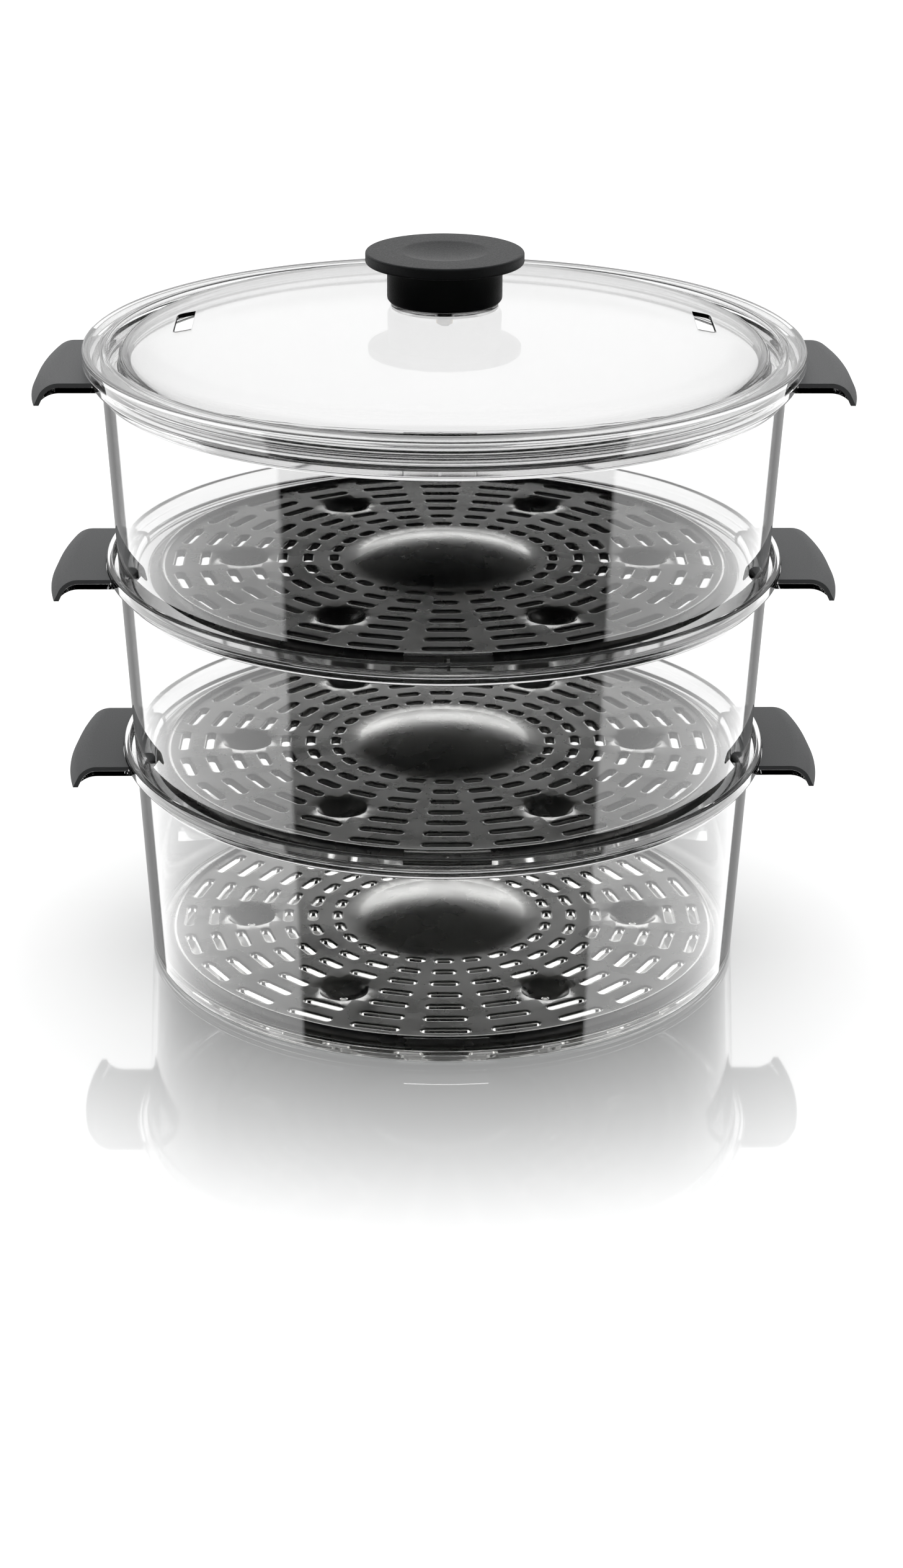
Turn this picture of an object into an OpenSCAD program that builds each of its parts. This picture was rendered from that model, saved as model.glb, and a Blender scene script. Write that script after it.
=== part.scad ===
// Stack of three clear steaming baskets with perforated steel trays, grey handle covers and a domed lid.
// Millimetres. +Z is up, the foot of the lowest basket stands on z = 0, and the handles lie along X.

/* [Tiers] */
// Height from one basket's foot to the foot of the basket above it
tier_pitch = 77; // [66:0.5:100]
// Distance from the tray's rim to the outer face of the lowest basket's foot
foot_gap = 3.5; // [3.2:0.1:8]
// Growth in radius from one tier to the next
tier_step = 4; // [3.4:0.1:6]
// Draft of the basket walls, in degrees
draft = 3; // [2:0.1:4]

/* [Basket wall and rim] */
// Thickness of the basket walls
wall_t = 2.2; // [1.6:0.1:3]
// Radius of the rounded edge at the foot
foot_round = 1.5; // [0.8:0.1:2.2]
// Height by which a rim reaches up round the piece that nests in it
rim_lap = 10.6; // [8:0.1:14]
// Free gap round the piece that nests in a rim, at the rim's top edge
nest_gap = 1.85; // [1:0.05:2.5]
// Thickness of the upright lip
lip_t = 2.6; // [2:0.1:3.5]
// Height of the lip's outer face
lip_h = 8; // [6.5:0.1:9.5]
// Height over which the wall flares out to the lip
flare_h = 10.4; // [8:0.1:14]
// Radius of the lip's rounded edges
lip_round = 0.7; // [0.4:0.1:0.9]

/* [Tray shelf] */
// Width of the shelf under the tray's rim
shelf_w = 6; // [4:0.1:8]
// Gap between the tray's rim and the step that centres it
tray_gap = 0.5; // [0.3:0.05:0.8]
// Height of the shelf's top above the foot
shelf_z = 4.1; // [3.6:0.1:5]
// Thickness of the shelf
shelf_t = 2.2; // [1.6:0.1:2.8]
// Step that keeps the tray centred on the shelf
shelf_step = 1.2; // [0.6:0.1:2]
// Width of the foot ring under the wall
foot_ring_w = 2.4; // [1.8:0.1:3.2]
// Width of the catch tab at the front and back of the tray
tab_w = 32; // [20:1:44]
// Height of the catch tab's top above the shelf
tab_h = 5.6; // [4:0.1:8]
// Thickness of the catch tab
tab_t = 3.4; // [2.4:0.1:4]
// Distance from the edge of the centring step back to the catch tab
tab_back = 0.4; // [0.3:0.1:0.8]
// Width of the rib that backs the catch tab
tab_rib_w = 1.2; // [0.8:0.1:2]
// Distance from the catch tab's top down to its rib
rib_drop = 1; // [0.5:0.1:2]
// Half width of the thick corner beside each handle, in degrees
pad_angle = 10.5; // [6:0.5:14]
// Height of the thick corner above the shelf
pad_h = 6; // [4:0.1:8]
// Width of the thick corner
pad_w = 5; // [3:0.1:6]

/* [Handles] */
// Half width of a handle along the rim
handle_half_w = 31.8; // [24:0.2:40]
// Length of a handle's flat part beyond the lip
handle_flat = 12.1; // [9:0.1:14]
// Drop of a handle's top below the rim's top edge
handle_drop = 2.6; // [2:0.1:3.4]
// Height of a handle from its top to its lower edge
handle_h = 8.6; // [7.6:0.1:10]
// Radius of the bend in a cover's outer face
bend_r = 8.5; // [7.5:0.1:9.5]
// Angle at which the bend ends
bend_a = 64; // [56:1:72]
// Radius of the bend beneath the clear lug, which thins out to nothing under the cover
lug_bend_r = 9.4; // [9:0.1:10.5]
// Thickness of a handle cover
cover_t = 1.7; // [1.2:0.1:2]
// Thickness of the clear lug
lug_t = 2.1; // [1.6:0.1:2.4]
// Gap between a handle cover and the lip
cover_gap = 0.2; // [0.1:0.05:0.4]

/* [Tray] */
// Outer radius of the tray's rim
tray_r = 114.5; // [100:0.5:130]
// Thickness of the tray's sheet
sheet_t = 0.6; // [0.5:0.1:1]
// Height of the tray's plane above its rim
tray_rise = 2.5; // [1.5:0.1:3.5]
// Width of the tray's flat rim
tray_rim_w = 3.2; // [2:0.1:3.6]
// Distance from the start of the raised bead to the tray's rim edge
tray_edge_w = 6.1; // [5.6:0.1:7]
// Height of the raised bead above the tray's plane
bead_h = 0.9; // [0.4:0.1:1.5]
// Half width of the bead's flat top
bead_flat = 0.5; // [0.3:0.1:0.8]
// Radius of the dome in the tray's middle
tray_dome_r = 35.1; // [28:0.1:38]
// Height of that dome
tray_dome_h = 6.3; // [4:0.1:9]
// Radius at which the dome's three slots lie
dome_slot_r = 23.3; // [16:0.1:27]
// Length of a dome slot
dome_slot_l = 8; // [5:0.5:10]
// Width of a dome slot
dome_slot_w = 3; // [2:0.1:4]
// Rings of slots in the tray
slot_rings = 7; // [4:1:7]
// Distance from the dome's edge to the innermost ring of slots
slot_dome_gap = 7.7; // [6:0.1:8.5]
// Distance from the outermost ring of slots to the raised bead
slot_edge_gap = 5.3; // [4.5:0.1:7]
// Slots in each ring
slots_round = 24; // [18:6:24]
// Width of a slot
slot_w = 4.2; // [3:0.1:5]
// Angle that a slot takes up with its round ends
slot_angle = 10.7; // [9:0.1:11.5]
// Place of the egg wells, counted in rings of slots from the innermost one
well_place = 3.52; // [3.4:0.02:3.6]
// Inner radius of an egg well at the tray's plane
well_r = 10.1; // [8:0.1:10.6]
// Depth of an egg well
well_depth = 4.3; // [3:0.1:4.6]
// Least width of metal between an egg well and a slot
well_land = 1; // [0.6:0.1:2]
// Radius of the drain hole in an egg well
well_hole_r = 1.5; // [1:0.1:2.5]

/* [Lid] */
// Wall thickness of the lid
lid_t = 2.2; // [1.6:0.1:2.4]
// Gap between the lid's plug and the rim round it
plug_gap = 2.1; // [1.2:0.05:2.4]
// Overhang of the lid's edge beyond the rim
lid_over = 2.2; // [1:0.1:4]
// Gap between the lid's edge and the top of the rim
lid_clear = 0.3; // [0.2:0.05:0.6]
// Height of the lid's outer ring above the rim's top edge
ring_h = 5.8; // [4.6:0.1:7]
// Radius of the outer ring's rounded edges
ring_round = 0.9; // [0.4:0.1:1.1]
// Radius of the rounded lower edge of the plug
plug_round = 0.6; // [0.3:0.1:1]
// Depth of the gutter below the dome's edge
gutter_depth = 3.5; // [2:0.1:5]
// Width of the gutter
gutter_w = 4.6; // [3:0.1:6]
// Height of the dome's edge above the rim's top edge
dome_edge_h = 2.1; // [1:0.1:3]
// Height of the dome above its edge
dome_h = 18; // [12:0.5:26]
// Radius at which the steam vents start
vent_in_r = 95; // [85:0.5:98]
// Radial width of a steam vent
vent_w = 7; // [4:0.5:8]
// Length of a steam vent
vent_l = 27; // [16:1:34]
// Corner radius at the outer side of a steam vent
vent_round = 2.5; // [1:0.1:3]

/* [Knob] */
// Radius of the boss on the lid that carries the knob
boss_r = 20.5; // [16:0.1:21.5]
// Rise of that boss above the dome's crown
boss_h = 0.9; // [0.5:0.1:2]
// Radius of the knob's neck
neck_r = 21.8; // [21.6:0.1:25]
// Wall of the knob's hollow neck
neck_wall = 3.4; // [2.6:0.1:4]
// Radius of the round lower edge of the neck
neck_round = 1.8; // [0.8:0.1:2.2]
// Height of the neck from the boss to the disc
neck_h = 14.6; // [13.5:0.1:20]
// Radius of the knob's disc
disc_r = 30; // [28:0.1:36]
// Thickness of the disc at its edge
disc_t = 4.4; // [3.8:0.1:6]
// Radius of the disc's rounded edges
disc_round = 0.9; // [0.4:0.1:1.5]
// Radius of the dished recess in the disc
dish_r = 17; // [12:0.1:20]
// Depth of the recess in its middle
dish_depth = 1.8; // [0.8:0.1:2.2]
// Distance from the disc's underside down to the roof of the hollow neck
roof_drop = 1; // [0.5:0.1:2]
// Radius of the boss inside the knob
core_r = 6.5; // [5:0.1:9]
// Shank radius of the knob screw
screw_r = 2; // [1.5:0.1:2.5]
// Length of the screw's shank inside the knob
screw_bite = 9; // [6:0.5:10]
// Height of the screw's head
screw_head_h = 2.6; // [2:0.1:3.5]
// Head radius of the knob screw
screw_head_r = 4; // [3.4:0.1:5]
// Width of the cross recess in the screw head
drive_w = 1.1; // [0.8:0.1:1.4]
// Wall of the threaded insert in the knob
insert_wall = 1.2; // [0.8:0.1:2]
// Length of the threaded insert
insert_l = 8; // [5:0.5:10]
// Depth of the knob's bore beyond the screw's end
bore_over = 1; // [0.5:0.1:2]
// Radius of the washer under the screw head
washer_r = 7; // [5.5:0.1:9]
// Thickness of that washer
washer_t = 0.8; // [0.5:0.1:1.5]
// Width of the lid's flat seat beyond the washer
seat_over = 1; // [0.5:0.1:2]
// Radial clearance of the screw in the lid and the washer
screw_clear = 0.3; // [0.2:0.05:0.5]
// Radial clearance of the screw's thread in its insert
thread_clear = 0.05; // [0.02:0.01:0.1]

/* [Hidden] */
$fn = 120;
fine = 24;
cut = 1;
tiers = 3;
left = 180;
right = 0;
// Angles of the egg wells and of the dome's slots
WELLS = [0 : 60 : 300];
DOME_SLOTS = [90, 210, 330];

// The tray's levels, measured from a basket's foot
rim_top = tier_pitch + rim_lap;
tray_plane = shelf_z + tray_rise;

// Radii that follow from the tray's
foot_r = tray_r + foot_gap;
step_r = tray_r + tray_gap;
shelf_in_r = tray_r - shelf_w;
bead_in_r = tray_r - tray_edge_w;
slot_first_r = tray_dome_r + slot_dome_gap;
slot_ring_step = (bead_in_r - slot_edge_gap - slot_first_r) / (slot_rings - 1);
well_ring_r = slot_first_r + well_place * slot_ring_step;

// A wall's outer radius in tier k at height z above that basket's foot
function wall_r(k, z) = foot_r + tier_step * (k - 1) + z * tan(draft);
function inner_r(k, z) = wall_r(k, z) - wall_t;
function lip_in(k) = wall_r(k + 1, rim_lap) + nest_gap;
function lip_out(k) = lip_in(k) + lip_t;
function tier_z(k) = tier_pitch * (k - 1);

// Points of an arc in a profile, from angle a0 to a1
function arc(x, y, r, a0, a1, n = 8) =
    [for (i = [0 : n]) [x + r * cos(a0 + (a1 - a0) * i / n), y + r * sin(a0 + (a1 - a0) * i / n)]];

// ---- Baskets ----

// Height at which the wall starts to flare, and the radius of the ledge's inner edge
flare_top = rim_top - lip_h;
flare_z = flare_top - flare_h;

// Half section of basket k: foot ring, wall, flare, lip, ledge, inner wall, centring step and shelf
module basket_section(k) {
    foot_out = wall_r(k, foot_round) - foot_round;
    ring_in = foot_out + foot_round - wall_t - foot_ring_w;
    ledge_in = inner_r(k, flare_z);
    polygon(concat(
        [[ring_in, 0]],
        arc(foot_out, foot_round, foot_round, -90, 0, 6),
        [[wall_r(k, flare_z), flare_z], [lip_out(k), flare_top]],
        arc(lip_out(k) - lip_round, rim_top - lip_round, lip_round, 0, 90, 4),
        arc(lip_in(k) + lip_round, rim_top - lip_round, lip_round, 90, 180, 4),
        [[lip_in(k), tier_pitch], [ledge_in, tier_pitch], [ledge_in, flare_z]],
        [[inner_r(k, shelf_z + shelf_step), shelf_z + shelf_step], [step_r, shelf_z + shelf_step]],
        [[step_r, shelf_z], [shelf_in_r, shelf_z], [shelf_in_r, shelf_z - shelf_t]],
        [[ring_in, shelf_z - shelf_t]]
    ));
}

// Upright tab just outside the tray's rim, with a thin rib back to the wall.
// In the lowest basket it runs into the wall.
module catch_tab(k) {
    tab_in = step_r + tab_back;
    wall_mid = inner_r(k, shelf_z) + wall_t / 2;
    tab_out = min(tab_in + tab_t, wall_mid);
    rib_in = (tab_in + tab_out) / 2;
    half_a = asin(tab_w / 2 / tab_out);
    rotate([0, 0, -half_a]) rotate_extrude(angle = 2 * half_a)
        translate([tab_in, shelf_z]) square([tab_out - tab_in, tab_h]);
    if (wall_mid > tab_out) translate([rib_in, -tab_rib_w / 2, shelf_z])
        cube([wall_mid - rib_in, tab_rib_w, tab_h - rib_drop]);
}

// Thick corner between the shelf and the wall beside a handle, with a round top.
// The lowest basket's wall stands too close to the tray for one.
module corner_pad(k) {
    pad_in = inner_r(k, shelf_z) - pad_w;
    pad_out = inner_r(k, shelf_z) + wall_t / 2;
    round_r = pad_w / 2;
    if (pad_in > step_r) rotate([0, 0, -pad_angle]) rotate_extrude(angle = 2 * pad_angle)
        polygon(concat(
            [[pad_in, shelf_z], [pad_out, shelf_z], [pad_out, shelf_z + pad_h]],
            arc(pad_in + round_r, shelf_z + pad_h - round_r, round_r, 90, 180, 5)
        ));
}

// Line of a handle at a depth below its top, in (radius, height): flat, bend, straight down to the edge
handle_top = rim_top - handle_drop;
function bend_line(k, depth, radius, r0) =
    let (
        x = lip_out(k) + handle_flat,
        z = handle_top - depth - radius,
        run = max(0, z + radius * cos(bend_a) - handle_top + handle_h)
    )
    concat(
        [[r0, z + radius]],
        arc(x, z, radius, 90, 90 - bend_a, 8),
        [[x + radius * sin(bend_a) + run / tan(bend_a), z + radius * cos(bend_a) - run]]
    );
function reversed(list) = [for (i = [len(list) - 1 : -1 : 0]) list[i]];

// Turns a handle's section about the basket's axis and cuts both ends square to X
module handle_sector(k) {
    intersection() {
        rotate_extrude() children();
        translate([0, -handle_half_w, 0]) cube([2 * lip_out(k), 2 * handle_half_w, rim_top]);
    }
}

// Clear lug of one handle, rooted in the lip
module handle_lug(k) {
    r0 = lip_out(k) - lip_t / 2;
    low = handle_top - handle_h;
    beneath = bend_line(k, cover_t + lug_t, lug_bend_r, r0 - cut);
    handle_sector(k) difference() {
        polygon(concat(bend_line(k, cover_t, bend_r - cover_t, r0), [[r0, low]]));
        polygon(concat(beneath, [[beneath[len(beneath) - 1][0], low - cut], [r0 - cut, low - cut]]));
    }
}

module basket(k) {
    translate([0, 0, tier_z(k)]) color([0.9, 0.92, 0.93, 0.35]) {
        rotate_extrude() basket_section(k);
        for (a = [left, right]) rotate([0, 0, a]) {
            handle_lug(k);
            corner_pad(k);
        }
        for (a = [90, 270]) rotate([0, 0, a]) catch_tab(k);
    }
}

// Moulded cover over a lug, of even thickness
module handle_cover(k, side) {
    r0 = lip_out(k) + cover_gap;
    translate([0, 0, tier_z(k)]) rotate([0, 0, side]) color([0.33, 0.33, 0.34])
        handle_sector(k) polygon(concat(
            bend_line(k, 0, bend_r, r0),
            reversed(bend_line(k, cover_t, bend_r - cover_t, r0))
        ));
}

// ---- Trays ----

// Half sections of the pressed sheet: the dome, then the raised bead with the lowered rim
dome_sphere_r = (tray_dome_r * tray_dome_r + tray_dome_h * tray_dome_h) / (2 * tray_dome_h);
dome_half_a = asin(tray_dome_r / dome_sphere_r);
module dome_section() {
    inner_r = dome_sphere_r - sheet_t;
    centre_z = tray_plane + tray_dome_h - dome_sphere_r;
    polygon(concat(
        arc(0, centre_z, dome_sphere_r, 90, 90 - dome_half_a, 12),
        [[tray_dome_r, tray_plane - sheet_t]],
        arc(0, centre_z, inner_r, 90 - asin((tray_dome_r - sheet_t / 2) / inner_r), 90, 12)
    ));
}
module rim_section() {
    bead_out = tray_r - tray_rim_w;
    bead_mid = (bead_in_r + bead_out) / 2;
    bead_top = tray_plane + bead_h;
    polygon([
        [bead_in_r, tray_plane - sheet_t], [bead_in_r, tray_plane],
        [bead_mid - bead_flat, bead_top], [bead_mid + bead_flat, bead_top],
        [bead_out, shelf_z + sheet_t], [tray_r, shelf_z + sheet_t],
        [tray_r, shelf_z], [bead_out - sheet_t, shelf_z],
        [bead_mid + bead_flat - sheet_t, bead_top - sheet_t],
        [bead_mid - bead_flat, bead_top - sheet_t]
    ]);
}

// Section of an egg well's bowl, down to its drain hole
bowl_r = (well_r * well_r + well_depth * well_depth) / (2 * well_depth);
bowl_half_a = asin(well_r / bowl_r);
module well_section() {
    centre_z = tray_plane - well_depth + bowl_r;
    outer_r = bowl_r + sheet_t;
    polygon(concat(
        arc(0, centre_z, bowl_r, -90 + bowl_half_a, -90 + asin(well_hole_r / bowl_r)),
        arc(0, centre_z, outer_r, -90 + asin(well_hole_r / outer_r), -90 + bowl_half_a)
    ));
}

// Straight slot with round ends, centred at radius r
module slot_shape(r, length, width) {
    half = (length - width) / 2;
    translate([r - width / 2, -half]) square([width, 2 * half]);
    for (y = [-half, half]) translate([r, y]) circle(r = width / 2, $fn = fine);
}

// Radius of ring n of slots, and the length of its slots
function ring_r(n) = slot_first_r + n * slot_ring_step;
function slot_l(n) = 2 * ring_r(n) * sin(slot_angle / 2);

// Distance from the middle of an egg well to the middle line of a slot that is b degrees further round
function well_to_slot(n, b) =
    let (
        half = (slot_l(n) - slot_w) / 2,
        along = -well_ring_r * sin(b),
        beyond = max(0, abs(along) - half)
    )
    norm([ring_r(n) - well_ring_r * cos(b), beyond]);

// Whether slot i of ring n leaves enough metal round every egg well
function is_clear(n, i) =
    min([for (a = WELLS) well_to_slot(n, i * 360 / slots_round - a)]) > well_r + slot_w / 2 + well_land;

// Flat stretch of the sheet, with its rings of slots and the holes for the wells
module sheet_shape() {
    difference() {
        circle(r = bead_in_r);
        circle(r = tray_dome_r);
        for (n = [0 : slot_rings - 1], i = [0 : slots_round - 1])
            if (is_clear(n, i)) rotate(i * 360 / slots_round) slot_shape(ring_r(n), slot_l(n), slot_w);
        for (a = WELLS) rotate(a) translate([well_ring_r, 0]) circle(r = well_r);
    }
}

module tray(k) {
    translate([0, 0, tier_z(k)]) color([0.75, 0.75, 0.76]) {
        translate([0, 0, tray_plane - sheet_t]) linear_extrude(sheet_t) sheet_shape();
        rotate_extrude() rim_section();
        difference() {
            rotate_extrude() dome_section();
            translate([0, 0, tray_plane]) linear_extrude(tray_dome_h + cut)
                for (a = DOME_SLOTS) rotate(a) slot_shape(dome_slot_r, dome_slot_l, dome_slot_w);
        }
        for (a = WELLS) rotate(a) translate([well_ring_r, 0]) rotate_extrude() well_section();
    }
}

// ---- Lid ----

// The lid's levels, measured from the ledge it rests on
lid_z = tier_pitch * tiers;
plug_r = lip_in(tiers) - plug_gap;
lid_r = lip_out(tiers) + lid_over;
edge_z = rim_lap + lid_clear;
ring_z = rim_lap + ring_h;
dome_z = rim_lap + dome_edge_h;
gutter_z = dome_z - gutter_depth;
dome_r = plug_r - lid_t - gutter_w;
boss_z = dome_z + dome_h + boss_h;
crown_under = dome_z + dome_h - lid_t;
screw_hole_r = screw_r + screw_clear;

// Height of an elliptic dome of radius a and height b at distance x from its axis
function dome_at(a, b, x) = dome_z + b * sqrt(max(0, 1 - x * x / (a * a)));

module lid_section() {
    n = 24;
    end_a = acos(boss_r / dome_r);
    groove_top = ring_z - lid_t;
    flat_r = washer_r + seat_over;
    in_r = dome_r - lid_t;
    plug_in = plug_r - lid_t;
    over = [for (i = [0 : n]) let (t = end_a * (1 - i / n)) [dome_r * cos(t), dome_z + dome_h * sin(t)]];
    under_a = acos(flat_r / in_r);
    beneath = [for (i = [0 : n]) let (t = under_a * i / n)
        [in_r * cos(t), dome_z + (crown_under - dome_z) * sin(t)]];
    polygon(concat(
        [[screw_hole_r, crown_under], [screw_hole_r, boss_z], [boss_r, boss_z]],
        over,
        [[dome_r, gutter_z], [plug_in, gutter_z]],
        arc(plug_in + ring_round, ring_z - ring_round, ring_round, 180, 90, 5),
        arc(lid_r - ring_round, ring_z - ring_round, ring_round, 90, 0, 5),
        [[lid_r, edge_z], [lid_r - lid_t, edge_z], [lid_r - lid_t, groove_top], [plug_r, groove_top]],
        arc(plug_r - plug_round, plug_round, plug_round, 0, -90, 3),
        [[plug_in, 0], [plug_in, gutter_z - lid_t], [in_r, gutter_z - lid_t]],
        beneath,
        [[flat_r, crown_under]]
    ));
}

// Through slot with round outer corners
module steam_vent() {
    z0 = dome_z - cut;
    straight = vent_l - 2 * vent_round;
    translate([vent_in_r, -vent_l / 2, z0]) cube([vent_w - vent_round, vent_l, dome_h]);
    translate([vent_in_r, -straight / 2, z0]) cube([vent_w, straight, dome_h]);
    for (y = [-straight / 2, straight / 2]) translate([vent_in_r + vent_w - vent_round, y, z0])
        cylinder(r = vent_round, h = dome_h, $fn = fine);
}

module lid() {
    translate([0, 0, lid_z]) color([0.9, 0.92, 0.93, 0.35]) difference() {
        rotate_extrude() lid_section();
        for (a = [left, right]) rotate([0, 0, a]) steam_vent();
    }
}

// ---- Knob and its fixing ----

knob_z = lid_z + boss_z;
insert_r = screw_r + insert_wall;

// Half section: neck with a round lower edge, flat disc with a shallow dish, hollow round a core
module knob_section() {
    top = neck_h + disc_t;
    dish_sphere = (dish_r * dish_r + dish_depth * dish_depth) / (2 * dish_depth);
    hollow_r = neck_r - neck_wall;
    roof = neck_h - roof_drop;
    difference() {
        polygon(concat(
            [[0, 0]],
            arc(neck_r - neck_round, neck_round, neck_round, -90, 0, 6),
            [[neck_r, neck_h]],
            arc(disc_r - disc_round, neck_h + disc_round, disc_round, -90, 0, 4),
            arc(disc_r - disc_round, top - disc_round, disc_round, 0, 90, 4),
            [for (i = [0 : 10]) let (x = dish_r * (1 - i / 10))
                [x, top - dish_depth + dish_sphere - sqrt(dish_sphere * dish_sphere - x * x)]]
        ));
        translate([core_r, -cut]) square([hollow_r - core_r, roof + cut]);
    }
}

module knob() {
    translate([0, 0, knob_z]) color([0.1, 0.1, 0.11]) difference() {
        rotate_extrude() knob_section();
        translate([0, 0, -cut]) cylinder(r = insert_r, h = max(screw_bite, insert_l) + bore_over + cut);
    }
}

module knob_insert() {
    translate([0, 0, knob_z]) color([0.78, 0.66, 0.36]) difference() {
        cylinder(r = insert_r, h = insert_l);
        translate([0, 0, -cut]) cylinder(r = screw_r + thread_clear, h = insert_l + 2 * cut);
    }
}

washer_z = lid_z + crown_under - washer_t;

module knob_washer() {
    translate([0, 0, washer_z]) color([0.72, 0.72, 0.74]) difference() {
        cylinder(r = washer_r, h = washer_t);
        translate([0, 0, -cut]) cylinder(r = screw_hole_r, h = washer_t + 2 * cut);
    }
}

// Pan-head screw driven up from inside the lid
module knob_screw() {
    shank = knob_z + screw_bite - washer_z;
    head_edge = screw_head_h / 2;
    translate([0, 0, washer_z]) color([0.72, 0.72, 0.74]) difference() {
        union() {
            cylinder(r = screw_r, h = shank);
            rotate_extrude() polygon(concat(
                [[0, 0], [0, -screw_head_h]],
                [for (i = [1 : 6]) let (t = 15 * i)
                    [screw_head_r * sin(t), -head_edge - (screw_head_h - head_edge) * cos(t)]],
                [[screw_head_r, 0]]
            ));
        }
        for (a = [0, 90]) rotate([0, 0, a]) translate([-screw_head_r / 2, -drive_w / 2, -screw_head_h - cut])
            cube([screw_head_r, drive_w, head_edge + cut]);
    }
}

basket(1);  // basket_1
basket(2);  // basket_2
basket(3);  // basket_3
tray(1);  // tray_1
tray(2);  // tray_2
tray(3);  // tray_3
handle_cover(1, left);  // handle_cover_left_1
handle_cover(2, left);  // handle_cover_left_2
handle_cover(3, left);  // handle_cover_left_3
handle_cover(1, right);  // handle_cover_right_1
handle_cover(2, right);  // handle_cover_right_2
handle_cover(3, right);  // handle_cover_right_3
lid();
knob();
knob_insert();
knob_washer();
knob_screw();
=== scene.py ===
# %% [markdown]
# # A stack of steaming baskets, dressed for a studio picture
# The object is a round food steamer: three clear baskets with perforated steel trays, grey covers on
# their handles, and a clear domed lid with a black knob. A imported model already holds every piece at
# its real size and place. This script keeps those places and makes each surface look like the real one.
# Clear plastic is the hard part: it has no colour of its own, so its look is made by true wall
# thickness, rounded edges that bend light, and a studio with bright and dark sides to reflect.

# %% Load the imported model
import math

import bmesh
import bpy
from mathutils import Matrix, Vector


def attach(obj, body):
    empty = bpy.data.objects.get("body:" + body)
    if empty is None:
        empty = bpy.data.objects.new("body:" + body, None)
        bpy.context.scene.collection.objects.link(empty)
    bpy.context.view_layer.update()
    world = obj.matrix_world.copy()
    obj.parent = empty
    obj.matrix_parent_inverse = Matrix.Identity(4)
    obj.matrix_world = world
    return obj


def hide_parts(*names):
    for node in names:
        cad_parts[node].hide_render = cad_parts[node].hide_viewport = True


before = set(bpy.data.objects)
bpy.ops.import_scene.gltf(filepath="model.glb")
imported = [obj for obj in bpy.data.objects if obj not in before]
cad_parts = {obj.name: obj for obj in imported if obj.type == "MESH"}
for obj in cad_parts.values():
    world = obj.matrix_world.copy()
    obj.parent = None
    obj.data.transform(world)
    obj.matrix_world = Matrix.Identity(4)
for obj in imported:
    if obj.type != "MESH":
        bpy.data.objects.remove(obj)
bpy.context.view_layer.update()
TO_METRES = 0.001

# %% [markdown]
# ## The camera comes first
# The photograph was taken with a long lens from about 1.2 m away, looking 23 degrees down. The focal
# length is known in pixels of the photograph, so it is turned into millimetres on a 36 mm sensor whose
# long side is the picture's height. The object is turned a degree about its own axis in the photograph.
# Here the object stays where the frame has it, and the camera goes round it by that degree instead.

# %% Camera
PHOTO_H = 2528
FOCAL_PX = 5038
SENSOR_MM = 36
CAMERA_PLACE = Vector((3.5, -1160.4, 551.1)) * TO_METRES
CAMERA_DOWN = math.radians(22.76)
CAMERA_ROLL = math.radians(0.29)
CAMERA_ROUND = math.radians(-1.03)

camera_data = bpy.data.cameras.new("camera")
camera_data.sensor_width = SENSOR_MM
camera_data.lens = SENSOR_MM * FOCAL_PX / PHOTO_H
camera_data.clip_start = 0.05
camera_data.clip_end = 50
camera = bpy.data.objects.new("camera", camera_data)
bpy.context.scene.collection.objects.link(camera)
look = Matrix.Rotation(math.pi / 2 - CAMERA_DOWN, 4, "X") @ Matrix.Rotation(CAMERA_ROLL, 4, "Z")
camera.matrix_world = Matrix.Rotation(CAMERA_ROUND, 4, "Z") @ Matrix.Translation(CAMERA_PLACE) @ look
bpy.context.scene.camera = camera
print("lens", round(camera_data.lens, 2), "mm")

# %% [markdown]
# ## Helpers for materials
# A designer gives a colour as a hex value, which is how it looks on a screen. Cycles adds light in
# linear values, so one function converts them. A second one adds a shader node with its settings, and
# joins an input wherever it is given another node's output instead of a number.

# %% Colours and nodes
def linear(hex_colour):
    """A screen colour such as "8a8c8d" as linear red, green, blue and alpha."""
    parts = [int(hex_colour[i : i + 2], 16) / 255 for i in (0, 2, 4)]
    return [c / 12.92 if c <= 0.04045 else ((c + 0.055) / 1.055) ** 2.4 for c in parts] + [1]


def add_node(tree, kind, inputs=(), **settings):
    """Adds a node. Each input is a value, or another node's output to join it to."""
    node = tree.nodes.new(kind)
    for name, value in settings.items():
        setattr(node, name, value)
    for name, value in dict(inputs).items():
        if isinstance(value, bpy.types.NodeSocket):
            tree.links.new(value, node.inputs[name])
        else:
            node.inputs[name].default_value = value
    return node


def new_material(name):
    """An empty material, its node tree and the output to plug the surface into."""
    material = bpy.data.materials.new(name)
    material.use_nodes = True
    material.node_tree.nodes.clear()
    output = add_node(material.node_tree, "ShaderNodeOutputMaterial")
    return material, material.node_tree, output


# %% [markdown]
# ## Clear plastic
# The baskets and the lid are injection-moulded styrene acrylonitrile, a hard clear plastic that is
# polished by its mould. It bends light a little more than window glass, hence an index of 1.57. It is
# a Principled shader with full transmission, so that walls refract and edges catch light. Lamps would
# see it as a solid wall, so rays that go to a lamp pass it as a faintly grey film instead.

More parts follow.
